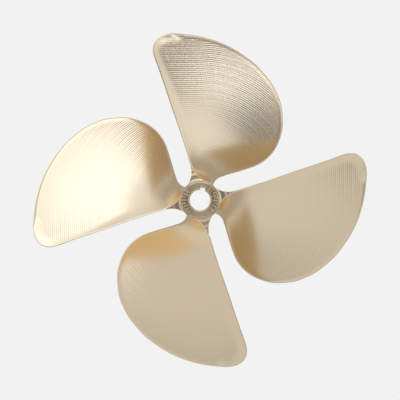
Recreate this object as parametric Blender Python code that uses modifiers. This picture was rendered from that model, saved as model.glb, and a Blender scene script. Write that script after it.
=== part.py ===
"""Four-bladed right-hand boat propeller, one bronze casting, bored 1:16 for a 1-1/8 inch shaft.

Metres, +Z aft along the shaft, which is the Z axis. The blades' lowest leading edges lie on z = 0.
"""

import math

import bmesh
import bpy
import numpy as np

MM = 0.001

# Propeller as a whole.
TIP_RADIUS = 203.2 * MM
PITCH = 304.8 * MM
BLADE_COUNT = 4

# Hub: the forward face's height, the length, and the outside radius where the blade fillets start.
HUB_FOOT = 4.6 * MM
HUB_LENGTH = 63.5 * MM
HUB_TOP = HUB_FOOT + HUB_LENGTH
HUB_RADIUS = 24.5 * MM

# Hub outside, turned about the shaft axis: radius and depth under the aft face, top to bottom.
HUB_OUTSIDE = (
    (0.0, 0.0),
    (21.2 * MM, 0.0),
    (21.9 * MM, 0.55 * MM),
    (22.2 * MM, 2.0 * MM),
    (22.7 * MM, 2.6 * MM),
    (23.2 * MM, 2.3 * MM),
    (23.6 * MM, 2.8 * MM),
    (23.7 * MM, 6.0 * MM),
    (24.7 * MM, 61.5 * MM),
    (24.0 * MM, 63.0 * MM),
    (23.5 * MM, HUB_LENGTH),
    (0.0, HUB_LENGTH),
)
HUB_STEPS = 72

# Taper bore, chamfered at the aft face together with the keyway.
BORE_FORWARD_RADIUS = 14.29 * MM
BORE_AFT_RADIUS = 12.30 * MM
BORE_CHAMFER = 2.1 * MM
BORE_STEPS = 64
KEYWAY_WIDTH = 6.35 * MM
KEYWAY_TOP_RADIUS = 15.9 * MM
KEYWAY_AZIMUTH = math.radians(13.7)
CUTTER_OVERRUN = 8.0 * MM

# Blade outline seen along the shaft, in mm: x to the leading side, y out from the axis.
TRAILING_SIDE = (
    (-8.6, 8.6),
    (-14.7, 14.7),
    (-14.2, 18.8),
    (-12.5, 23.3),
    (-11.2, 26.5),
    (-10.5, 30.8),
    (-10.5, 36.9),
    (-13.3, 47.7),
    (-35.7, 115.8),
    (-49.6, 156.9),
    (-54.2, 169.4),
    (-56.2, 177.2),
    (-55.9, 184.3),
    (-52.2, 192.3),
    (-45.5, 197.5),
    (-36.6, 200.3),
    (-31.2, 201.1),
)
LEADING_SIDE = (
    (9.7, 9.7),
    (14.6, 15.2),
    (16.4, 18.6),
    (17.4, 21.2),
    (18.6, 23.5),
    (22.3, 27.1),
    (30.5, 30.5),
    (45.5, 35.1),
    (60.0, 39.6),
    (73.9, 45.0),
    (85.9, 53.6),
    (95.1, 65.1),
    (100.9, 78.6),
    (103.8, 92.9),
    (103.3, 105.3),
    (101.0, 119.8),
    (95.6, 133.2),
    (88.3, 145.8),
    (78.8, 157.0),
    (68.5, 167.4),
    (56.8, 176.0),
    (31.3, 190.0),
    (3.7, 198.2),
    (-17.7, 200.9),
    (-31.2, 201.1),
)
OUTLINE_POINTS_PER_SPAN = 12

# Pressure face: a helix that falls from the trailing edge, steeper there than at the leading edge.
TRIM_DEPTH = 4.5 * MM
HELIX_START_AZIMUTH = math.radians(-13.7)
PITCH_MIDDLE_AZIMUTH = math.radians(20.0)
PITCH_EASING = 0.226

# Section thickness across the blade surface.
ROOT_THICKNESS = 14.0 * MM
TIP_THICKNESS = 2.8 * MM
EDGE_THICKNESS = 2.4 * MM
THICKNESS_POWER = 1.25
EDGE_ROUNDING = 1.8 * MM

# Cup: the trailing edge bent aft over a narrow strip. Relief: the face rolled down at the leading edge.
CUP_DEPTH = 2.2 * MM
CUP_WIDTH = 13.0 * MM
CUP_START_RADIUS = 44.0 * MM
CUP_FULL_RADIUS = 110.0 * MM
RELIEF_DEPTH = 0.8 * MM
RELIEF_WIDTH = 6.0 * MM

# Fillets where the blade meets the hub, cut off flat near the hub's two faces.
FILLET_REACH = 18.0 * MM
FILLET_HEIGHT = 25.0 * MM
ROOT_NOSE = 9.0 * MM
ROOT_FLOOR = HUB_FOOT + 1.5 * MM
TRIM_FADE = (39.0 * MM, 45.0 * MM)
FLOOR_FADE = (38.0 * MM, 52.0 * MM)

# Mesh rows run across the blade: circular at the hub, outboard straight behind its centre line and curved ahead.
ROW_CURL = 0.11
ROW_SPREAD = 0.039
CIRCULAR_ROOT_RADIUS = 24.0 * MM
FREE_ROW_RADIUS = 60.0 * MM
FIRST_ROW = 18.6 * MM
FILLET_ROW_COUNT = 9
OUTER_ROW_COUNT = 30
POINTS_PER_ROW = 17

BRONZE_COLOUR = (0.62, 0.52, 0.36, 1.0)


def make_collection(name):
    collection = bpy.data.collections.new(name)
    bpy.context.scene.collection.children.link(collection)
    return collection


def hide_helper(obj):
    obj.hide_render = True
    obj.display_type = "WIRE"


def smooth_step(value, low, high):
    share = np.clip((value - low) / (high - low), 0.0, 1.0)
    return share * share * (3.0 - 2.0 * share)


def smooth_curve(points):
    """A curve through the given points, with a tangent at each taken from its two neighbours."""
    knots = np.array(points) * MM
    before = np.vstack([2 * knots[0] - knots[1], knots[:-1]])
    after = np.vstack([knots[1:], 2 * knots[-1] - knots[-2]])
    reach_back = np.linalg.norm(knots - before, axis=1)[:, None]
    reach_on = np.linalg.norm(after - knots, axis=1)[:, None]
    slope = (
        (knots - before) / reach_back * reach_on + (after - knots) / reach_on * reach_back
    ) / (reach_back + reach_on)
    curve = []
    for start in range(len(knots) - 1):
        span = np.linalg.norm(knots[start + 1] - knots[start])
        for step in range(OUTLINE_POINTS_PER_SPAN):
            t = step / OUTLINE_POINTS_PER_SPAN
            curve.append(
                (2 * t**3 - 3 * t**2 + 1) * knots[start]
                + (t**3 - 2 * t**2 + t) * span * slope[start]
                + (3 * t**2 - 2 * t**3) * knots[start + 1]
                + (t**3 - t**2) * span * slope[start + 1]
            )
    curve.append(knots[-1])
    return np.array(curve)


def row_shape(radius, azimuth):
    """Radius of a mesh row at an azimuth, as a share of its radius on the blade's centre line."""
    ahead = np.maximum(azimuth, 0.0)
    behind = np.minimum(azimuth, 0.0)
    free = np.exp(ROW_SPREAD * azimuth - ROW_CURL * ahead**2) / np.cos(behind)
    share = smooth_step(radius, CIRCULAR_ROOT_RADIUS, FREE_ROW_RADIUS)
    return 1.0 + share * (free - 1.0)


def row_of(points):
    """The row that passes through each plan point."""
    radius = np.hypot(points[:, 0], points[:, 1])
    return radius / row_shape(radius, np.arctan2(points[:, 0], points[:, 1]))


def radius_on_row(row, azimuth):
    """Radius of a row at each azimuth."""
    radius = row * np.ones_like(azimuth)
    for _ in range(12):
        radius = row * row_shape(radius, azimuth)
    return radius


TRAILING_CURVE = smooth_curve(TRAILING_SIDE)
LEADING_CURVE = smooth_curve(LEADING_SIDE)
LAST_ROW = float(row_of(LEADING_CURVE[-1:])[0])


def edge_azimuth(curve, row):
    """Azimuth at which a row meets the outline on one side."""
    return np.interp(row, row_of(curve), np.arctan2(curve[:, 0], curve[:, 1]))


def distance_to(curve, x, y):
    """Distance in plan from each point to a curve, measured to its straight pieces."""
    start = curve[:-1]
    along = np.diff(curve, axis=0)
    nearest = np.full(np.shape(x), np.inf)
    for (ax, ay), (bx, by) in zip(start, along):
        share = np.clip(((x - ax) * bx + (y - ay) * by) / (bx * bx + by * by), 0.0, 1.0)
        nearest = np.minimum(nearest, np.hypot(x - ax - share * bx, y - ay - share * by))
    return nearest


def face_height(azimuth):
    """Height of the pressure face's helix."""
    turned = azimuth - HELIX_START_AZIMUTH
    past_middle = (azimuth - PITCH_MIDDLE_AZIMUTH) ** 2
    start_past_middle = (HELIX_START_AZIMUTH - PITCH_MIDDLE_AZIMUTH) ** 2
    eased = turned - 0.5 * PITCH_EASING * (past_middle - start_past_middle)
    return HUB_TOP - TRIM_DEPTH - PITCH / math.tau * eased


def blade_heights(x, y, chord_share):
    """Heights of the blade's aft and forward surfaces over plan points."""
    radius = np.hypot(x, y)
    azimuth = np.arctan2(x, y)
    pitch_cosine = math.tau * radius / np.hypot(math.tau * radius, PITCH)

    outboard = np.clip((radius - HUB_RADIUS) / (TIP_RADIUS - HUB_RADIUS), 0.0, 1.0)
    thickest = TIP_THICKNESS + (ROOT_THICKNESS - TIP_THICKNESS) * (1.0 - outboard) ** THICKNESS_POWER
    swell = (thickest - EDGE_THICKNESS) * 4.0 * chord_share * (1.0 - chord_share)
    half = 0.5 * (EDGE_THICKNESS + swell) / pitch_cosine

    from_hub = np.clip((radius - HUB_RADIUS) / FILLET_REACH, 0.0, 1.0)
    fillet = 1.0 - np.sqrt(1.0 - (1.0 - from_hub) ** 2)

    from_trailing = distance_to(TRAILING_CURVE, x, y)
    from_leading = distance_to(LEADING_CURVE, x, y)
    nose = EDGE_ROUNDING + ROOT_NOSE * np.sqrt(fillet)
    edge = np.clip(np.minimum(from_trailing / EDGE_ROUNDING, from_leading / nose), 0.0, 1.0)
    edge_share = np.sqrt(1.0 - (1.0 - edge) ** 2)

    cup_here = CUP_DEPTH * smooth_step(radius, CUP_START_RADIUS, CUP_FULL_RADIUS)
    cup = cup_here * (1.0 - np.clip(from_trailing / CUP_WIDTH, 0.0, 1.0)) ** 2
    relief = RELIEF_DEPTH * (1.0 - np.clip(from_leading / RELIEF_WIDTH, 0.0, 1.0)) ** 2

    trimmed = 1.0 - smooth_step(radius, *TRIM_FADE)
    face = face_height(azimuth)
    face -= trimmed * np.maximum(face - (HUB_TOP - TRIM_DEPTH), 0.0)
    middle = face + cup - relief - half
    reach = (half + FILLET_HEIGHT * fillet) * edge_share
    upper = middle + reach
    lower = middle - reach
    upper -= trimmed * np.maximum(upper - (HUB_TOP - TRIM_DEPTH), 0.0)
    floored = 1.0 - smooth_step(radius, *FLOOR_FADE)
    lower += floored * np.maximum(ROOT_FLOOR - lower, 0.0)
    lower = np.maximum(lower, 0.0)
    return upper, lower


def row_positions():
    """Rows spaced closer through the fillet and toward the tip, where the outline closes in."""
    fillet_end = HUB_RADIUS + FILLET_REACH
    opening = np.linspace(0.0, 1.0, FILLET_ROW_COUNT) ** 1.6
    fillet_rows = HUB_RADIUS + FILLET_REACH * opening
    share = np.linspace(0.0, 1.0, OUTER_ROW_COUNT + 1)[1:]
    outer_rows = fillet_end + (LAST_ROW - fillet_end) * (1.0 - (1.0 - share) ** 1.5)
    return np.concatenate([[FIRST_ROW], fillet_rows, outer_rows])


def chord_positions():
    """Shares of the chord, closer together toward both edges."""
    turn = np.linspace(0.0, math.pi, POINTS_PER_ROW)
    return 0.5 - 0.5 * np.cos(turn)


def add_blade(collection, number):
    """One blade as a closed shell: an aft and a forward sheet that meet along the outline."""
    chord = chord_positions()
    rows = row_positions()[:-1]
    mesh = bmesh.new()
    upper_rows = []
    lower_rows = []
    for row in rows:
        start = edge_azimuth(TRAILING_CURVE, row)
        end = edge_azimuth(LEADING_CURVE, row)
        azimuth = start + (end - start) * chord
        radius = radius_on_row(row, azimuth)
        x = radius * np.sin(azimuth)
        y = radius * np.cos(azimuth)
        upper, lower = blade_heights(x, y, chord)
        meet = 0.5 * (upper + lower)
        upper[[0, -1]] = meet[[0, -1]]
        top = [mesh.verts.new(point) for point in zip(x, y, upper)]
        inner = slice(1, -1)
        bottom = [mesh.verts.new(point) for point in zip(x[inner], y[inner], lower[inner])]
        upper_rows.append(top)
        lower_rows.append([top[0]] + bottom + [top[-1]])

    tip = LEADING_CURVE[-1]
    tip_height = float(face_height(np.arctan2(tip[0], tip[1]))) - 0.5 * EDGE_THICKNESS
    tip_vertex = mesh.verts.new((tip[0], tip[1], tip_height))

    last = POINTS_PER_ROW - 1
    for sheet, turned in ((upper_rows, False), (lower_rows, True)):
        for near, far in zip(sheet[:-1], sheet[1:]):
            for i in range(last):
                corners = [near[i], near[i + 1], far[i + 1], far[i]]
                mesh.faces.new(corners[::-1] if turned else corners)
        for i in range(last):
            corners = [sheet[-1][i], sheet[-1][i + 1], tip_vertex]
            mesh.faces.new(corners[::-1] if turned else corners)
    for i in range(last):
        corners = [upper_rows[0][i], lower_rows[0][i], lower_rows[0][i + 1], upper_rows[0][i + 1]]
        distinct = list(dict.fromkeys(corners))
        mesh.faces.new(distinct)

    bmesh.ops.recalc_face_normals(mesh, faces=mesh.faces)
    for face in mesh.faces:
        face.smooth = True
    data = bpy.data.meshes.new(f"blade_{number}")
    mesh.to_mesh(data)
    mesh.free()
    blade = bpy.data.objects.new(f"blade_{number}", data)
    blade.rotation_euler.z = -math.tau * (number - 1) / BLADE_COUNT
    hide_helper(blade)
    collection.objects.link(blade)
    return blade


def add_profile(name, profile, steps, collection):
    """A solid turned about Z from a radius and height profile."""
    data = bpy.data.meshes.new(name)
    points = [(radius, 0.0, height) for radius, height in profile]
    edges = [(i, i + 1) for i in range(len(points) - 1)]
    data.from_pydata(points, edges, [])
    turned = bpy.data.objects.new(name, data)
    collection.objects.link(turned)
    screw = turned.modifiers.new("turn", "SCREW")
    screw.axis = "Z"
    screw.steps = steps
    screw.render_steps = steps
    screw.use_merge_vertices = True
    screw.merge_threshold = 0.00001
    screw.use_smooth_shade = True
    return turned


def add_bore_cutter(collection):
    slope = (BORE_FORWARD_RADIUS - BORE_AFT_RADIUS) / HUB_LENGTH
    mouth = BORE_AFT_RADIUS + slope * BORE_CHAMFER
    forward_end = HUB_LENGTH + CUTTER_OVERRUN
    profile = (
        (0.0, HUB_TOP + BORE_CHAMFER),
        (mouth + 2.0 * BORE_CHAMFER, HUB_TOP + BORE_CHAMFER),
        (mouth, HUB_TOP - BORE_CHAMFER),
        (BORE_AFT_RADIUS + slope * forward_end, HUB_TOP - forward_end),
        (0.0, HUB_TOP - forward_end),
    )
    cutter = add_profile("taper_bore", profile, BORE_STEPS, collection)
    hide_helper(cutter)
    return cutter


def add_keyway_cutter(collection):
    """A straight slot out from the shaft axis, flared with the bore's chamfer at the aft face."""
    mesh = bmesh.new()
    sections = (
        (0.0, -CUTTER_OVERRUN),
        (0.0, HUB_TOP - BORE_CHAMFER),
        (2.0 * BORE_CHAMFER, HUB_TOP + BORE_CHAMFER),
    )
    rings = []
    for flare, height in sections:
        side = 0.5 * KEYWAY_WIDTH + flare
        roof = KEYWAY_TOP_RADIUS + flare
        corners = ((-side, 0.0), (side, 0.0), (side, roof), (-side, roof))
        rings.append([mesh.verts.new((x, y, height)) for x, y in corners])
    for lower, upper in zip(rings[:-1], rings[1:]):
        for i in range(4):
            following = (i + 1) % 4
            mesh.faces.new([lower[i], lower[following], upper[following], upper[i]])
    mesh.faces.new(rings[0][::-1])
    mesh.faces.new(rings[-1])
    data = bpy.data.meshes.new("keyway")
    mesh.to_mesh(data)
    mesh.free()
    cutter = bpy.data.objects.new("keyway", data)
    cutter.rotation_euler.z = -KEYWAY_AZIMUTH
    hide_helper(cutter)
    collection.objects.link(cutter)
    return cutter


def add_boolean(obj, name, other, operation):
    modifier = obj.modifiers.new(name, "BOOLEAN")
    modifier.operation = operation
    modifier.solver = "EXACT"
    modifier.object = other


def bronze_material():
    material = bpy.data.materials.new("satin_bronze")
    material.use_nodes = True
    shader = material.node_tree.nodes["Principled BSDF"]
    shader.inputs["Base Color"].default_value = BRONZE_COLOUR
    shader.inputs["Metallic"].default_value = 1.0
    shader.inputs["Roughness"].default_value = 0.35
    return material


def main():
    for obj in list(bpy.data.objects):
        bpy.data.objects.remove(obj)
    parts = make_collection("boat_propeller")
    helpers = make_collection("boat_propeller_helpers")

    hub_profile = [(radius, HUB_TOP - depth) for radius, depth in HUB_OUTSIDE]
    propeller = add_profile("propeller", hub_profile, HUB_STEPS, parts)
    for number in range(1, BLADE_COUNT + 1):
        blade = add_blade(helpers, number)
        add_boolean(propeller, f"join_blade_{number}", blade, "UNION")
    add_boolean(propeller, "bore", add_bore_cutter(helpers), "DIFFERENCE")
    add_boolean(propeller, "keyway", add_keyway_cutter(helpers), "DIFFERENCE")
    propeller.data.materials.append(bronze_material())


main()
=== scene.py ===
"""Looks for the boat propeller: machined and satin polished bronze blades, and a turned hub with a keyway."""

import math

import bpy
import numpy as np
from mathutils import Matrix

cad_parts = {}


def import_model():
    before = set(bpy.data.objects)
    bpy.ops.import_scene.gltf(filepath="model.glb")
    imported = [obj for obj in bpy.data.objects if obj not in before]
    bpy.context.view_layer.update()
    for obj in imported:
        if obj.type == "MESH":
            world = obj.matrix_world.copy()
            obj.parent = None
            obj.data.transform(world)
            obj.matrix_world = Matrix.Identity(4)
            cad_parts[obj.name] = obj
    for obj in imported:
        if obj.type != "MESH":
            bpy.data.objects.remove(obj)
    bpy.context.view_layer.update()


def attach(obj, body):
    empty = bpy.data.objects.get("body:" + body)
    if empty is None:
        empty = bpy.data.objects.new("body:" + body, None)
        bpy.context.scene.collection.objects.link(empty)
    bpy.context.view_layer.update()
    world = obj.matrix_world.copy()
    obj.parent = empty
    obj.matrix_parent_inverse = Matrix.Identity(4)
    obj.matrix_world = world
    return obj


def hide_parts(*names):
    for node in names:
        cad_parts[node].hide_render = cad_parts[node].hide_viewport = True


MM = 0.001

# Camera straight above the hub, image 400 by 400 pixels.
IMAGE_PIXELS = 400.0
FOCAL_PIXELS = 1032.1
CAMERA_DISTANCE = 1.234
HUB_PIXEL = (200.0, 200.2)
SENSOR_WIDTH = 36.0

# Propeller as a whole. It lies with its forward side down, on its leading edges.
TIP_RADIUS = 203.2 * MM
PITCH = 304.8 * MM
BLADE_COUNT = 4

# Blade outline seen along the shaft, in mm: x to the leading side, y out from the axis.
TRAILING_SIDE = (
    (-8.6, 8.6),
    (-14.7, 14.7),
    (-14.2, 18.8),
    (-12.5, 23.3),
    (-11.2, 26.5),
    (-10.5, 30.8),
    (-10.5, 36.9),
    (-13.3, 47.7),
    (-35.7, 115.8),
    (-49.6, 156.9),
    (-54.2, 169.4),
    (-56.2, 177.2),
    (-55.9, 184.3),
    (-52.2, 192.3),
    (-45.5, 197.5),
    (-36.6, 200.3),
    (-31.2, 201.1),
)
LEADING_SIDE = (
    (9.7, 9.7),
    (14.6, 15.2),
    (16.4, 18.6),
    (17.4, 21.2),
    (18.6, 23.5),
    (22.3, 27.1),
    (30.5, 30.5),
    (45.5, 35.1),
    (60.0, 39.6),
    (73.9, 45.0),
    (85.9, 53.6),
    (95.1, 65.1),
    (100.9, 78.6),
    (103.8, 92.9),
    (103.3, 105.3),
    (101.0, 119.8),
    (95.6, 133.2),
    (88.3, 145.8),
    (78.8, 157.0),
    (68.5, 167.4),
    (56.8, 176.0),
    (31.3, 190.0),
    (3.7, 198.2),
    (-17.7, 200.9),
    (-31.2, 201.1),
)
OUTLINE_POINTS_PER_SPAN = 12

# Hub: the forward face's height, the length, and the outside radius where the blade fillets start.
HUB_FOOT = 4.6 * MM
HUB_LENGTH = 63.5 * MM
HUB_TOP = HUB_FOOT + HUB_LENGTH
HUB_RADIUS = 24.5 * MM

# Pressure face: a helix that falls from the trailing edge, steeper there than at the leading edge.
TRIM_DEPTH = 4.5 * MM
HELIX_START_AZIMUTH = math.radians(-13.7)
PITCH_MIDDLE_AZIMUTH = math.radians(20.0)
PITCH_EASING = 0.226

# Section thickness across the blade surface.
ROOT_THICKNESS = 14.0 * MM
TIP_THICKNESS = 2.8 * MM
EDGE_THICKNESS = 2.4 * MM
THICKNESS_POWER = 1.25
EDGE_ROUNDING = 1.8 * MM

# Cup: the trailing edge bent aft over a narrow strip. Relief: the face rolled down at the leading edge.
CUP_DEPTH = 2.2 * MM
CUP_WIDTH = 13.0 * MM
CUP_START_RADIUS = 44.0 * MM
CUP_FULL_RADIUS = 110.0 * MM
RELIEF_DEPTH = 0.8 * MM
RELIEF_WIDTH = 6.0 * MM

# Fillets where the blade meets the hub, cut off flat near the hub's two faces.
FILLET_REACH = 18.0 * MM
FILLET_HEIGHT = 25.0 * MM
ROOT_NOSE = 9.0 * MM
ROOT_FLOOR = HUB_FOOT + 1.5 * MM
TRIM_FADE = (39.0 * MM, 45.0 * MM)
FLOOR_FADE = (38.0 * MM, 52.0 * MM)

# Hub outside: radius and depth under the aft face, from the face's outer edge down the barrel.
FACE_OUTER_RADIUS = 21.2 * MM
HUB_OUTSIDE = (
    (21.50, 0.10),
    (21.85, 0.50),
    (21.95, 1.60),
    (22.15, 2.60),
    (22.45, 2.80),
    (22.75, 2.50),
    (23.05, 1.95),
    (23.40, 1.75),
    (23.75, 2.00),
    (23.90, 2.60),
    (23.90, 6.00),
    (24.20, 33.0),
    (24.70, 61.5),
    (24.45, 62.7),
    (24.00, 63.3),
    (23.50, 63.5),
)
HUB_OUTSIDE_STEPS = 4
HUB_COLUMNS = 540

# Taper bore and keyway.
BORE_FORWARD_RADIUS = 14.29 * MM
BORE_AFT_RADIUS = 12.30 * MM
BORE_CHAMFER = 2.1 * MM
BORE_LEVELS = 16
KEYWAY_WIDTH = 6.35 * MM
KEYWAY_TOP_RADIUS = 15.9 * MM
KEYWAY_AZIMUTH = math.radians(13.7)
KEYWAY_COLUMNS = 12

# Marks punched into the aft face: blade numerals, and index ticks in three runs, in degrees.
FACE_ROWS = 40
MARK_DEPTH = 0.70 * MM
MARK_STROKE = 0.55 * MM
MARK_INNER_RADIUS = 16.2 * MM
MARK_OUTER_RADIUS = 20.0 * MM
NUMERAL_WIDTH = 2.6 * MM
NUMERAL_AZIMUTHS = (40.0, 128.0, 235.0, 304.0)
TICK_RUNS = ((52.0, 112.0, 6), (142.0, 222.0, 8), (248.0, 292.0, 4))
SHORT_TICK = 0.45

# Flats where the trailing roots are cut off: a fillet up to the hub's lip, a fine groove, and turned steps farther
# out, each with its start and end radius and its drop.
FLAT_FILLET_START = 23.9 * MM
FLAT_FILLET_REACH = 2.2 * MM
FLAT_FILLET_HEIGHT = 2.3 * MM
FLAT_GROOVE_RADIUS = 26.0 * MM
FLAT_GROOVE_WIDTH = 0.3 * MM
FLAT_GROOVE_DEPTH = 0.5 * MM
FLAT_STEPS = ((30.4 * MM, 33.6 * MM, 0.55 * MM), (36.4 * MM, 38.4 * MM, 0.35 * MM))

# Cutter passes run across the blade. They are straight behind its centre line and curve round the hub ahead.
PASS_CURL = 0.11
PASS_SPREAD = 0.039
CIRCULAR_ROOT_RADIUS = 24.0 * MM
FREE_PASS_RADIUS = 60.0 * MM
PASS_PITCH = 2.405 * MM
PASS_DEPTH = 0.12 * MM
ROWS_PER_PASS = 5
FIRST_ROW = 18.6 * MM
FINE_ROWS = (23.3 * MM, 27.2 * MM, 0.15 * MM)
TIP_ROW_GAPS = (0.02, 0.08, 0.18, 0.32, 0.55, 0.85)
EDGE_STEPS = (0.0, 0.05, 0.2, 0.45, 0.8, 1.2, 1.7, 2.3, 3.2)
MIDDLE_COLUMNS = 58

# Bronze: two tints that drift into each other, a satin grain along the passes, and turned faces on the hub.
BRONZE_WARM = (0.97, 0.765, 0.495, 1.0)
BRONZE_PALE = (0.97, 0.785, 0.525, 1.0)
SATIN_ROUGHNESS = (0.21, 0.27)
TURNED_ROUGHNESS = 0.27
TURNED_ANISOTROPY = 0.8
BRUSH_STRETCH = (120.0, 2600.0, 0.0)
BRUSH_DEPTH = 0.004 * MM

# Passes fade out in a blended strip along the edges and toward the hub.
TRAILING_FADE = (3.0 * MM, 12.0 * MM)
LEADING_FADE = (2.0 * MM, 6.5 * MM)
HUB_FADE = (30.0 * MM, 46.0 * MM)

FLOOR_SIZE = 8.0
BACKDROP = 0.888
# Painted floor light: to every ray but the camera's the floor glows as a painted bounce. It is brighter toward
# negative x as a painted pool of lamp light, and its dim level elsewhere is painted shade for the propeller's
# shadow.
FLOOR_PAINTED_BOUNCE = 0.38
FLOOR_PAINTED_LIT_SIDE = 0.30
FLOOR_PAINTED_LIT_EDGE = (-0.02, -0.14)


def smooth_step(value, low, high):
    share = np.clip((value - low) / (high - low), 0.0, 1.0)
    return share * share * (3.0 - 2.0 * share)


def smooth_curve(points):
    """A curve through the given points, with a tangent at each taken from its two neighbours."""
    knots = np.array(points) * MM
    before = np.vstack([2 * knots[0] - knots[1], knots[:-1]])
    after = np.vstack([knots[1:], 2 * knots[-1] - knots[-2]])
    reach_back = np.linalg.norm(knots - before, axis=1)[:, None]
    reach_on = np.linalg.norm(after - knots, axis=1)[:, None]
    slope = (
        (knots - before) / reach_back * reach_on + (after - knots) / reach_on * reach_back
    ) / (reach_back + reach_on)
    curve = []
    for start in range(len(knots) - 1):
        span = np.linalg.norm(knots[start + 1] - knots[start])
        for step in range(OUTLINE_POINTS_PER_SPAN):
            t = step / OUTLINE_POINTS_PER_SPAN
            curve.append(
                (2 * t**3 - 3 * t**2 + 1) * knots[start]
                + (t**3 - 2 * t**2 + t) * span * slope[start]
                + (3 * t**2 - 2 * t**3) * knots[start + 1]
                + (t**3 - t**2) * span * slope[start + 1]
            )
    curve.append(knots[-1])
    return np.array(curve)


def pass_shape(radius, azimuth):
    """Radius of a cutter pass at an azimuth, as a share of its radius on the blade's centre line."""
    ahead = np.maximum(azimuth, 0.0)
    behind = np.minimum(azimuth, 0.0)
    free = np.exp(PASS_SPREAD * azimuth - PASS_CURL * ahead**2) / np.cos(behind)
    share = smooth_step(radius, CIRCULAR_ROOT_RADIUS, FREE_PASS_RADIUS)
    return 1.0 + share * (free - 1.0)


def pass_of(x, y):
    """The pass, as its radius on the centre line, that runs through each plan point."""
    radius = np.hypot(x, y)
    return radius / pass_shape(radius, np.arctan2(x, y))


def radius_on_pass(row, azimuth):
    """Radius at an azimuth of the pass named by its centre-line radius."""
    radius = row * np.ones_like(azimuth)
    for _ in range(12):
        radius = row * pass_shape(radius, azimuth)
    return radius


TRAILING_CURVE = smooth_curve(TRAILING_SIDE)
LEADING_CURVE = smooth_curve(LEADING_SIDE)
LAST_ROW = float(pass_of(LEADING_CURVE[-1, 0], LEADING_CURVE[-1, 1]))


def edge_azimuth(curve, row):
    """Azimuth at which a pass meets the outline on one side."""
    return np.interp(row, pass_of(curve[:, 0], curve[:, 1]), np.arctan2(curve[:, 0], curve[:, 1]))


def distance_to(curve, x, y):
    """Distance in plan from each point to a curve, measured to its straight pieces."""
    start = curve[:-1]
    along = np.diff(curve, axis=0)
    nearest = np.full(np.shape(x), np.inf)
    for (ax, ay), (bx, by) in zip(start, along):
        share = np.clip(((x - ax) * bx + (y - ay) * by) / (bx * bx + by * by), 0.0, 1.0)
        nearest = np.minimum(nearest, np.hypot(x - ax - share * bx, y - ay - share * by))
    return nearest


def face_height(azimuth):
    """Height of the pressure face's helix."""
    turned = azimuth - HELIX_START_AZIMUTH
    past_middle = (azimuth - PITCH_MIDDLE_AZIMUTH) ** 2
    start_past_middle = (HELIX_START_AZIMUTH - PITCH_MIDDLE_AZIMUTH) ** 2
    eased = turned - 0.5 * PITCH_EASING * (past_middle - start_past_middle)
    return HUB_TOP - TRIM_DEPTH - PITCH / math.tau * eased


def flat_height(radius):
    """Height of the turned flat that cuts off a trailing root."""
    away = np.clip((radius - FLAT_FILLET_START) / FLAT_FILLET_REACH, 0.0, 1.0)
    height = HUB_TOP - TRIM_DEPTH + FLAT_FILLET_HEIGHT * (1.0 - np.sqrt(1.0 - (1.0 - away) ** 2))
    height -= FLAT_GROOVE_DEPTH * np.exp(-(((radius - FLAT_GROOVE_RADIUS) / FLAT_GROOVE_WIDTH) ** 2))
    for start, end, drop in FLAT_STEPS:
        height -= drop * np.clip((radius - start) / (end - start), 0.0, 1.0)
    return height


def blade_heights(x, y, chord_share):
    """Heights of the blade's aft and forward surfaces, the share of the passes left, and where it is turned flat."""
    radius = np.hypot(x, y)
    azimuth = np.arctan2(x, y)
    pitch_cosine = math.tau * radius / np.hypot(math.tau * radius, PITCH)

    outboard = np.clip((radius - HUB_RADIUS) / (TIP_RADIUS - HUB_RADIUS), 0.0, 1.0)
    thickest = TIP_THICKNESS + (ROOT_THICKNESS - TIP_THICKNESS) * (1.0 - outboard) ** THICKNESS_POWER
    swell = (thickest - EDGE_THICKNESS) * 4.0 * chord_share * (1.0 - chord_share)
    half = 0.5 * (EDGE_THICKNESS + swell) / pitch_cosine

    from_hub = np.clip((radius - HUB_RADIUS) / FILLET_REACH, 0.0, 1.0)
    fillet = 1.0 - np.sqrt(1.0 - (1.0 - from_hub) ** 2)

    from_trailing = distance_to(TRAILING_CURVE, x, y)
    from_leading = distance_to(LEADING_CURVE, x, y)
    nose = EDGE_ROUNDING + ROOT_NOSE * np.sqrt(fillet)
    edge = np.clip(np.minimum(from_trailing / EDGE_ROUNDING, from_leading / nose), 0.0, 1.0)
    edge_share = np.sqrt(1.0 - (1.0 - edge) ** 2)

    cup_here = CUP_DEPTH * smooth_step(radius, CUP_START_RADIUS, CUP_FULL_RADIUS)
    cup = cup_here * (1.0 - np.clip(from_trailing / CUP_WIDTH, 0.0, 1.0)) ** 2
    relief = RELIEF_DEPTH * (1.0 - np.clip(from_leading / RELIEF_WIDTH, 0.0, 1.0)) ** 2

    trimmed = 1.0 - smooth_step(radius, *TRIM_FADE)
    face = face_height(azimuth)
    face -= trimmed * np.maximum(face - (HUB_TOP - TRIM_DEPTH), 0.0)
    middle = face + cup - relief - half
    reach = (half + FILLET_HEIGHT * fillet) * edge_share
    upper = middle + reach
    lower = middle - reach
    cut_off = trimmed * np.maximum(upper - flat_height(radius), 0.0)
    upper -= cut_off
    floored = 1.0 - smooth_step(radius, *FLOOR_FADE)
    lower += floored * np.maximum(ROOT_FLOOR - lower, 0.0)
    lower = np.maximum(lower, 0.0)

    left = smooth_step(from_trailing, *TRAILING_FADE)
    left *= smooth_step(from_leading, *LEADING_FADE)
    left *= smooth_step(radius, *HUB_FADE)
    turned = smooth_step(cut_off, 0.0, 0.3 * MM)
    return upper, lower, left, turned


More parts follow.
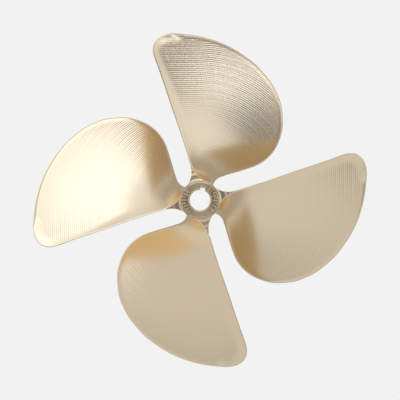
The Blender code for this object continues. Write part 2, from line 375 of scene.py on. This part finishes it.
def pass_rows():
    """Centre-line radii of the mesh rows: a whole number to each pass, and closer at the very tip."""
    first = math.ceil(FIRST_ROW / PASS_PITCH * ROWS_PER_PASS)
    last = math.floor((LAST_ROW - MM) / PASS_PITCH * ROWS_PER_PASS)
    rows = np.arange(first, last + 1) * PASS_PITCH / ROWS_PER_PASS
    tip = LAST_ROW - np.array(TIP_ROW_GAPS[::-1]) * MM
    root = np.arange(*FINE_ROWS)
    rows = rows[(rows > FIRST_ROW + 0.05 * MM) & ((rows < root[0] - 0.1 * MM) | (rows > root[-1] + 0.1 * MM))]
    return np.sort(np.concatenate([[FIRST_ROW], rows, root, tip]))


def pass_hollow(row):
    """Depth of the cutter's hollow at each row: none on the ridge between two passes, full in the middle."""
    turn = row / PASS_PITCH
    number = np.floor(turn)
    across = turn - number
    strength = 1.0 + 0.25 * np.sin(number * 2.3) * np.sin(number * 0.71)
    return PASS_DEPTH * strength * 4.0 * across * (1.0 - across)


def chord_distances(length):
    """Distances along one row: close together at both edges, even between."""
    edge = np.array(EDGE_STEPS) * MM
    edge *= min(1.0, 0.25 * length / edge[-1])
    middle = np.linspace(edge[-1], length - edge[-1], MIDDLE_COLUMNS + 2)[1:-1]
    return np.concatenate([edge, middle, length - edge[::-1]])


def make_piece(name, points, faces, grain):
    mesh = bpy.data.meshes.new(name)
    mesh.from_pydata(points, [], faces)
    mesh.polygons.foreach_set("use_smooth", [True] * len(mesh.polygons))
    stored = mesh.attributes.new("grain", "FLOAT_VECTOR", "POINT")
    stored.data.foreach_set("vector", np.array(grain, dtype=np.float32).ravel())
    mesh.validate()
    mesh.update()
    return mesh


def blade_mesh():
    """One blade: an aft and a forward sheet that meet along the outline, closed inside the hub."""
    rows = pass_rows()
    plan_x = []
    plan_y = []
    shares = []
    for row in rows:
        start = edge_azimuth(TRAILING_CURVE, row)
        end = edge_azimuth(LEADING_CURVE, row)
        length = (end - start) * row
        share = chord_distances(length) / length
        azimuth = start + (end - start) * share
        radius = radius_on_pass(row, azimuth)
        plan_x.append(radius * np.sin(azimuth))
        plan_y.append(radius * np.cos(azimuth))
        shares.append(share)
    x = np.array(plan_x)
    y = np.array(plan_y)
    share = np.array(shares)
    upper, lower, left, turned = blade_heights(x, y, share)
    hollow = left * pass_hollow(rows)[:, None]
    upper -= hollow
    lower += hollow
    columns = x.shape[1]
    upper[:, 0] = lower[:, 0] = 0.5 * (upper[:, 0] + lower[:, 0])
    upper[:, -1] = lower[:, -1] = 0.5 * (upper[:, -1] + lower[:, -1])

    row_count = len(rows)
    along = share * np.hypot(x, y)
    across = rows[:, None] * np.ones_like(x)
    top = np.stack([x, y, upper], axis=-1).reshape(-1, 3)
    inner = np.stack([x, y, lower], axis=-1)[:, 1:-1].reshape(-1, 3)
    tip = LEADING_CURVE[-1]
    tip_height = float(face_height(np.arctan2(tip[0], tip[1]))) - 0.5 * EDGE_THICKNESS
    points = np.vstack([top, inner, [[tip[0], tip[1], tip_height]]])
    grain_top = np.stack([along, across, 2.0 * turned], axis=-1).reshape(-1, 3)
    grain_inner = np.stack([along, across, np.zeros_like(x)], axis=-1)[:, 1:-1].reshape(-1, 3)
    grain = np.vstack([grain_top, grain_inner, [[0.0, LAST_ROW, 0.0]]])

    top_index = np.arange(row_count * columns).reshape(row_count, columns)
    under_index = top_index.copy()
    under_index[:, 1:-1] = row_count * columns + np.arange(row_count * (columns - 2)).reshape(row_count, -1)
    tip_index = len(points) - 1
    faces = []
    for sheet, turned in ((top_index, False), (under_index, True)):
        quads = np.stack([sheet[:-1, :-1], sheet[:-1, 1:], sheet[1:, 1:], sheet[1:, :-1]], axis=-1)
        quads = quads.reshape(-1, 4)
        fan = np.stack([sheet[-1, :-1], sheet[-1, 1:], np.full(columns - 1, tip_index)], axis=-1)
        if turned:
            quads = quads[:, ::-1]
            fan = fan[:, ::-1]
        faces += quads.tolist() + fan.tolist()
    for i in range(columns - 1):
        corners = [top_index[0, i], under_index[0, i], under_index[0, i + 1], top_index[0, i + 1]]
        faces.append([int(corner) for corner in dict.fromkeys(corners)])
    return make_piece("blade", points.tolist(), faces, grain)


# Numerals as strokes in a unit box, x to the right and y up.
NUMERALS = {
    1: (((0.25, 0.8), (0.5, 1.0), (0.5, 0.0)), ((0.2, 0.0), (0.8, 0.0))),
    2: (((0.1, 0.8), (0.3, 1.0), (0.7, 1.0), (0.9, 0.8), (0.9, 0.6), (0.1, 0.0), (0.9, 0.0)),),
    3: (((0.1, 1.0), (0.9, 1.0), (0.45, 0.6), (0.8, 0.5), (0.9, 0.25), (0.7, 0.0), (0.1, 0.05)),),
    4: (((0.75, 0.0), (0.75, 1.0), (0.05, 0.3), (0.95, 0.3)),),
}


def keyway_reach(azimuth, bore_radius):
    """Radius of the bore's wall at each azimuth, keyway included."""
    turn = (azimuth - KEYWAY_AZIMUTH + math.pi) % math.tau - math.pi
    side = 0.5 * KEYWAY_WIDTH
    roof = KEYWAY_TOP_RADIUS / np.maximum(np.cos(turn), 0.1)
    wall = side / np.maximum(np.abs(np.sin(turn)), 1e-6)
    slot = np.where(np.cos(turn) > 0.0, np.minimum(roof, wall), 0.0)
    return np.maximum(slot, bore_radius)


def hub_azimuths(bore_radius):
    """Azimuths of the hub's columns at one bore radius: even, but with columns on the keyway's corners."""
    side = 0.5 * KEYWAY_WIDTH
    corner = math.atan2(side, KEYWAY_TOP_RADIUS)
    mouth = math.asin(side / bore_radius)
    roof = np.linspace(-corner, corner, KEYWAY_COLUMNS + 1)
    wall = np.linspace(corner, mouth, 4)[1:]
    slot = np.concatenate([-wall[::-1], roof, wall])
    rest = np.linspace(mouth, math.tau - mouth, HUB_COLUMNS - len(slot) + 2)[1:-1]
    return KEYWAY_AZIMUTH + np.concatenate([slot, rest])


def outside_profile():
    """The hub's turned outside as a run of radius and height."""
    knots = np.array(HUB_OUTSIDE) * MM
    knots[:, 1] = HUB_TOP - knots[:, 1]
    run = [(FACE_OUTER_RADIUS, HUB_TOP)]
    for start, end in zip(knots[:-1], knots[1:]):
        for step in range(HUB_OUTSIDE_STEPS):
            run.append(tuple(start + (end - start) * step / HUB_OUTSIDE_STEPS))
    run.append(tuple(knots[-1]))
    return run


def mark_strokes():
    """Straight strokes of the punched marks: distance round the ring's middle, and radius."""
    middle = 0.5 * (MARK_INNER_RADIUS + MARK_OUTER_RADIUS)
    tall = MARK_OUTER_RADIUS - MARK_INNER_RADIUS
    strokes = []
    for number, azimuth in enumerate(NUMERAL_AZIMUTHS, start=1):
        centre = math.radians(azimuth) * middle
        for run in NUMERALS[number]:
            for (ax, ay), (bx, by) in zip(run[:-1], run[1:]):
                start = (centre + (ax - 0.5) * NUMERAL_WIDTH, MARK_INNER_RADIUS + ay * tall)
                end = (centre + (bx - 0.5) * NUMERAL_WIDTH, MARK_INNER_RADIUS + by * tall)
                strokes.append(start + end)
    for first, last, gaps in TICK_RUNS:
        for number in range(gaps + 1):
            centre = math.radians(first + (last - first) * number / gaps) * middle
            inner = MARK_INNER_RADIUS + SHORT_TICK * tall * (number % 2)
            strokes.append((centre, inner, centre, MARK_OUTER_RADIUS))
    return strokes


def mark_depth(azimuth, radius):
    """Depth of the punched marks at points of the aft face."""
    middle = 0.5 * (MARK_INNER_RADIUS + MARK_OUTER_RADIUS)
    along = (azimuth % math.tau) * middle
    nearest = np.full(np.shape(azimuth), np.inf)
    for ax, ay, bx, by in mark_strokes():
        dx = bx - ax
        dy = by - ay
        share = np.clip(((along - ax) * dx + (radius - ay) * dy) / (dx * dx + dy * dy), 0.0, 1.0)
        nearest = np.minimum(nearest, np.hypot(along - ax - share * dx, radius - ay - share * dy))
    return MARK_DEPTH * (1.0 - smooth_step(nearest, 0.3 * MARK_STROKE, MARK_STROKE))


def hub_mesh():
    """The hub as rings of columns: up the bore, across the aft face, down the outside, across the forward face."""
    rings = []
    slope = (BORE_AFT_RADIUS - BORE_FORWARD_RADIUS) / HUB_LENGTH
    for depth in np.linspace(HUB_LENGTH, BORE_CHAMFER, BORE_LEVELS):
        bore = BORE_AFT_RADIUS - slope * depth
        azimuth = hub_azimuths(bore)
        rings.append((azimuth, keyway_reach(azimuth, bore), HUB_TOP - depth, 0.0))
    edge_azimuths = rings[-1][0]
    mouth = rings[-1][1]
    face_inner = mouth + BORE_CHAMFER
    for share in (0.08, 0.35, 0.65, 0.92):
        rings.append((edge_azimuths, mouth + share * BORE_CHAMFER, HUB_TOP - (1.0 - share) * BORE_CHAMFER, 0.0))
    for share in np.linspace(0.0, 1.0, FACE_ROWS):
        radius = face_inner + (FACE_OUTER_RADIUS - face_inner) * share
        rings.append((edge_azimuths, radius, HUB_TOP, 1.0))
    for radius, height in outside_profile()[1:]:
        rings.append((edge_azimuths, np.full(HUB_COLUMNS, radius), height, 0.0))
    points = []
    grain = []
    travelled = 0.0
    before = None
    for azimuth, radius, height, on_face in rings:
        level = np.full(HUB_COLUMNS, height)
        if on_face:
            level = level - mark_depth(azimuth, radius)
        ring = np.stack([radius * np.sin(azimuth), radius * np.cos(azimuth), level], axis=-1)
        mean_place = np.array([radius.mean(), height])
        if before is not None:
            travelled += float(np.linalg.norm(mean_place - before))
        before = mean_place
        points.append(ring)
        turned = np.full(HUB_COLUMNS, 2.0)
        grain.append(np.stack([azimuth * radius, np.full(HUB_COLUMNS, travelled), turned], axis=-1))
    points = np.vstack(points)
    index = np.arange(len(points)).reshape(len(rings), HUB_COLUMNS)
    following = np.roll(index, -1, axis=1)
    up = np.vstack([index[1:], index[:1]])
    up_following = np.vstack([following[1:], following[:1]])
    faces = np.stack([index, up, up_following, following], axis=-1).reshape(-1, 4)
    return make_piece("hub", points.tolist(), faces.tolist(), np.vstack(grain))


def add_hub(material):
    mesh = hub_mesh()
    mesh.set_sharp_from_angle(angle=math.radians(40.0))
    mesh.materials.append(material)
    hub = bpy.data.objects.new("hub", mesh)
    bpy.context.scene.collection.objects.link(hub)
    bpy.context.view_layer.update()
    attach(hub, "root")
    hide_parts("propeller")


def add_math(nodes, links, operation, first, second):
    math_node = nodes.new("ShaderNodeMath")
    math_node.operation = operation
    for socket, value in zip(math_node.inputs, (first, second)):
        if isinstance(value, float):
            socket.default_value = value
        else:
            links.new(value, socket)
    return math_node.outputs[0]


def add_noise(nodes, links, place, scale, stretch, detail):
    """Noise over the grain, drawn out along the tool marks."""
    stretched = nodes.new("ShaderNodeVectorMath")
    stretched.operation = "MULTIPLY"
    stretched.inputs[1].default_value = stretch
    links.new(place, stretched.inputs[0])
    noise = nodes.new("ShaderNodeTexNoise")
    noise.inputs["Scale"].default_value = scale
    noise.inputs["Detail"].default_value = detail
    links.new(stretched.outputs[0], noise.inputs["Vector"])
    return noise.outputs["Fac"]


def add_range(nodes, links, value, low, high, to_low, to_high):
    span = nodes.new("ShaderNodeMapRange")
    span.inputs["From Min"].default_value = low
    span.inputs["From Max"].default_value = high
    span.inputs["To Min"].default_value = to_low
    span.inputs["To Max"].default_value = to_high
    links.new(value, span.inputs["Value"])
    return span.outputs["Result"]


def bronze_material():
    material = bpy.data.materials.new("satin_bronze")
    material.use_nodes = True
    nodes = material.node_tree.nodes
    links = material.node_tree.links
    shader = nodes["Principled BSDF"]
    shader.inputs["Metallic"].default_value = 1.0

    grain = nodes.new("ShaderNodeAttribute")
    grain.attribute_name = "grain"
    split = nodes.new("ShaderNodeSeparateXYZ")
    links.new(grain.outputs["Vector"], split.inputs[0])
    turned = add_range(nodes, links, split.outputs["Z"], 0.6, 1.6, 0.0, 1.0)
    place = nodes.new("ShaderNodeTexCoord").outputs["Object"]

    patches = add_noise(nodes, links, place, 9.0, (1.0, 1.0, 1.0), 3.0)
    tint = nodes.new("ShaderNodeMix")
    tint.data_type = "RGBA"
    tint.inputs["A"].default_value = BRONZE_WARM
    tint.inputs["B"].default_value = BRONZE_PALE
    links.new(add_range(nodes, links, patches, 0.35, 0.65, 0.0, 1.0), tint.inputs["Factor"])
    links.new(tint.outputs["Result"], shader.inputs["Base Color"])

    brushed = add_noise(nodes, links, grain.outputs["Vector"], 1.0, BRUSH_STRETCH, 4.0)
    satin = add_range(nodes, links, brushed, 0.3, 0.7, SATIN_ROUGHNESS[0], SATIN_ROUGHNESS[1])
    rough = nodes.new("ShaderNodeMix")
    rough.inputs["B"].default_value = TURNED_ROUGHNESS
    links.new(turned, rough.inputs["Factor"])
    links.new(satin, rough.inputs["A"])
    links.new(rough.outputs["Result"], shader.inputs["Roughness"])

    around = nodes.new("ShaderNodeTangent")
    around.direction_type = "RADIAL"
    around.axis = "Z"
    shader.inputs["Anisotropic Rotation"].default_value = 0.25
    links.new(around.outputs[0], shader.inputs["Tangent"])
    links.new(add_math(nodes, links, "MULTIPLY", turned, TURNED_ANISOTROPY), shader.inputs["Anisotropic"])

    bump = nodes.new("ShaderNodeBump")
    bump.inputs["Strength"].default_value = 1.0
    bump.inputs["Distance"].default_value = BRUSH_DEPTH
    links.new(brushed, bump.inputs["Height"])
    links.new(bump.outputs["Normal"], shader.inputs["Normal"])
    return material


def add_blades(material):
    mesh = blade_mesh()
    mesh.materials.append(material)
    for number in range(1, BLADE_COUNT + 1):
        blade = bpy.data.objects.new(f"blade_{number}", mesh)
        blade.rotation_euler.z = -math.tau * (number - 1) / BLADE_COUNT
        bpy.context.scene.collection.objects.link(blade)
        bpy.context.view_layer.update()
        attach(blade, "root")
        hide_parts("propeller")


def add_floor():
    mesh = bpy.data.meshes.new("floor")
    half = 0.5 * FLOOR_SIZE
    corners = [(-half, -half, 0.0), (half, -half, 0.0), (half, half, 0.0), (-half, half, 0.0)]
    mesh.from_pydata(corners, [], [(0, 1, 2, 3)])
    material = bpy.data.materials.new("pale_floor")
    material.use_nodes = True
    nodes = material.node_tree.nodes
    nodes.clear()
    links = material.node_tree.links
    seen = nodes.new("ShaderNodeEmission")
    seen.inputs["Color"].default_value = (BACKDROP, BACKDROP, BACKDROP, 1.0)
    # Painted light: the glow seen by reflected rays is a painted bounce, brighter toward negative x as a painted lit
    # side of the floor, dimmer elsewhere as painted shade.
    place = nodes.new("ShaderNodeTexCoord")
    split = nodes.new("ShaderNodeSeparateXYZ")
    links.new(place.outputs["Object"], split.inputs[0])
    painted_lit_side = nodes.new("ShaderNodeMapRange")
    painted_lit_side.interpolation_type = "SMOOTHSTEP"
    painted_lit_side.inputs["From Min"].default_value = FLOOR_PAINTED_LIT_EDGE[0]
    painted_lit_side.inputs["From Max"].default_value = FLOOR_PAINTED_LIT_EDGE[1]
    painted_lit_side.inputs["To Min"].default_value = FLOOR_PAINTED_BOUNCE
    painted_lit_side.inputs["To Max"].default_value = FLOOR_PAINTED_BOUNCE + FLOOR_PAINTED_LIT_SIDE
    links.new(split.outputs["X"], painted_lit_side.inputs["Value"])
    painted_bounce = nodes.new("ShaderNodeEmission")
    links.new(painted_lit_side.outputs["Result"], painted_bounce.inputs["Strength"])
    path = nodes.new("ShaderNodeLightPath")
    mix = nodes.new("ShaderNodeMixShader")
    links.new(path.outputs["Is Camera Ray"], mix.inputs["Fac"])
    links.new(painted_bounce.outputs[0], mix.inputs[1])
    links.new(seen.outputs[0], mix.inputs[2])
    output = nodes.new("ShaderNodeOutputMaterial")
    links.new(mix.outputs[0], output.inputs["Surface"])
    mesh.materials.append(material)
    floor = bpy.data.objects.new("floor", mesh)
    bpy.context.scene.collection.objects.link(floor)


# Studio by direction. Each soft box has its azimuth clockwise from the picture's top, its angle from straight up,
# half its width and height, its soft edge, all in degrees, and its strength. Dark screens are given in the same way.
AMBIENT = 0.60
AMBIENT_COLOUR = (1.0, 1.04, 1.13)
LIGHT_COLOUR = (0.93, 1.09, 1.42)
SOFT_BOXES = (
    (0.0, 44.0, 25.0, 17.0, 12.0, 0.72),
    (5.0, 72.0, 26.0, 14.0, 20.0, 0.22),
    (92.0, 35.0, 8.0, 8.0, 6.0, 0.90),
    (88.0, 64.0, 24.0, 20.0, 16.0, 0.22),
    (180.0, 62.0, 30.0, 26.0, 20.0, 0.04),
)
SCREENS = (
    (120.0, 42.0, 14.0, 12.0, 8.0, 0.42),
    (62.0, 38.0, 9.0, 12.0, 6.0, 0.42),
    (216.0, 40.0, 8.0, 12.0, 12.0, 0.18),
    (350.0, 0.0, 26.0, 11.0, 10.0, 0.54),
)
DARKEST = 0.02


def add_window(nodes, links, place, axis, half_angle, edge):
    """One inside a band of directions across an axis, falling to nothing over the band's soft edge."""
    toward = nodes.new("ShaderNodeVectorMath")
    toward.operation = "DOT_PRODUCT"
    toward.inputs[1].default_value = axis
    links.new(place, toward.inputs[0])
    away = add_math(nodes, links, "ABSOLUTE", toward.outputs["Value"], 0.0)
    fall = nodes.new("ShaderNodeMapRange")
    fall.interpolation_type = "SMOOTHSTEP"
    fall.inputs["From Min"].default_value = math.sin(math.radians(half_angle + 0.5 * edge))
    fall.inputs["From Max"].default_value = math.sin(math.radians(half_angle - 0.5 * edge))
    links.new(away, fall.inputs["Value"])
    return fall.outputs["Result"]


def add_soft_box(nodes, links, place, box):
    """Brightness of one soft-edged rectangle of light in the studio."""
    azimuth, polar, half_width, half_height, edge, strength = box
    a = math.radians(azimuth)
    p = math.radians(polar)
    centre = (math.sin(p) * math.sin(a), math.sin(p) * math.cos(a), math.cos(p))
    across = (math.cos(a), -math.sin(a), 0.0)
    down = (math.cos(p) * math.sin(a), math.cos(p) * math.cos(a), -math.sin(p))
    front = nodes.new("ShaderNodeVectorMath")
    front.operation = "DOT_PRODUCT"
    front.inputs[1].default_value = centre
    links.new(place, front.inputs[0])
    ahead = add_math(nodes, links, "GREATER_THAN", front.outputs["Value"], 0.0)
    wide = add_window(nodes, links, place, across, half_width, edge)
    high = add_window(nodes, links, place, down, half_height, edge)
    inside = add_math(nodes, links, "MULTIPLY", wide, high)
    inside = add_math(nodes, links, "MULTIPLY", inside, ahead)
    return add_math(nodes, links, "MULTIPLY", inside, strength)


def add_up(nodes, links, values):
    total = values[0]
    for value in values[1:]:
        total = add_math(nodes, links, "ADD", total, value)
    return total


def add_world():
    world = bpy.data.worlds.new("studio")
    bpy.context.scene.world = world
    world.use_nodes = True
    nodes = world.node_tree.nodes
    links = world.node_tree.links
    nodes.clear()
    place = nodes.new("ShaderNodeTexCoord").outputs["Generated"]
    bright = add_up(nodes, links, [add_soft_box(nodes, links, place, box) for box in SOFT_BOXES])
    dark = add_up(nodes, links, [add_soft_box(nodes, links, place, screen) for screen in SCREENS])
    lit = add_math(nodes, links, "SUBTRACT", AMBIENT, dark)
    lit = add_math(nodes, links, "MAXIMUM", lit, DARKEST)
    base = nodes.new("ShaderNodeBackground")
    base.inputs["Color"].default_value = (*AMBIENT_COLOUR, 1.0)
    links.new(lit, base.inputs["Strength"])
    boxes = nodes.new("ShaderNodeBackground")
    boxes.inputs["Color"].default_value = (*LIGHT_COLOUR, 1.0)
    links.new(bright, boxes.inputs["Strength"])
    light = nodes.new("ShaderNodeAddShader")
    links.new(base.outputs[0], light.inputs[0])
    links.new(boxes.outputs[0], light.inputs[1])

    backdrop = nodes.new("ShaderNodeBackground")
    backdrop.inputs["Color"].default_value = (BACKDROP, BACKDROP, BACKDROP, 1.0)
    path = nodes.new("ShaderNodeLightPath")
    mix = nodes.new("ShaderNodeMixShader")
    links.new(path.outputs["Is Camera Ray"], mix.inputs["Fac"])
    links.new(light.outputs[0], mix.inputs[1])
    links.new(backdrop.outputs[0], mix.inputs[2])
    output = nodes.new("ShaderNodeOutputWorld")
    links.new(mix.outputs[0], output.inputs["Surface"])


def add_camera():
    data = bpy.data.cameras.new("camera")
    data.lens = SENSOR_WIDTH * FOCAL_PIXELS / IMAGE_PIXELS
    data.sensor_width = SENSOR_WIDTH
    camera = bpy.data.objects.new("camera", data)
    metres_per_pixel = CAMERA_DISTANCE / FOCAL_PIXELS
    across = (0.5 * IMAGE_PIXELS - HUB_PIXEL[0]) * metres_per_pixel
    up = (HUB_PIXEL[1] - 0.5 * IMAGE_PIXELS) * metres_per_pixel
    camera.location = (across, up, HUB_TOP + CAMERA_DISTANCE)
    bpy.context.scene.collection.objects.link(camera)
    bpy.context.scene.camera = camera


def main():
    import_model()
    scene = bpy.context.scene
    scene.view_settings.view_transform = "Standard"
    bronze = bronze_material()
    add_blades(bronze)
    add_hub(bronze)
    add_floor()
    add_world()
    add_camera()
    bpy.context.view_layer.update()


main()
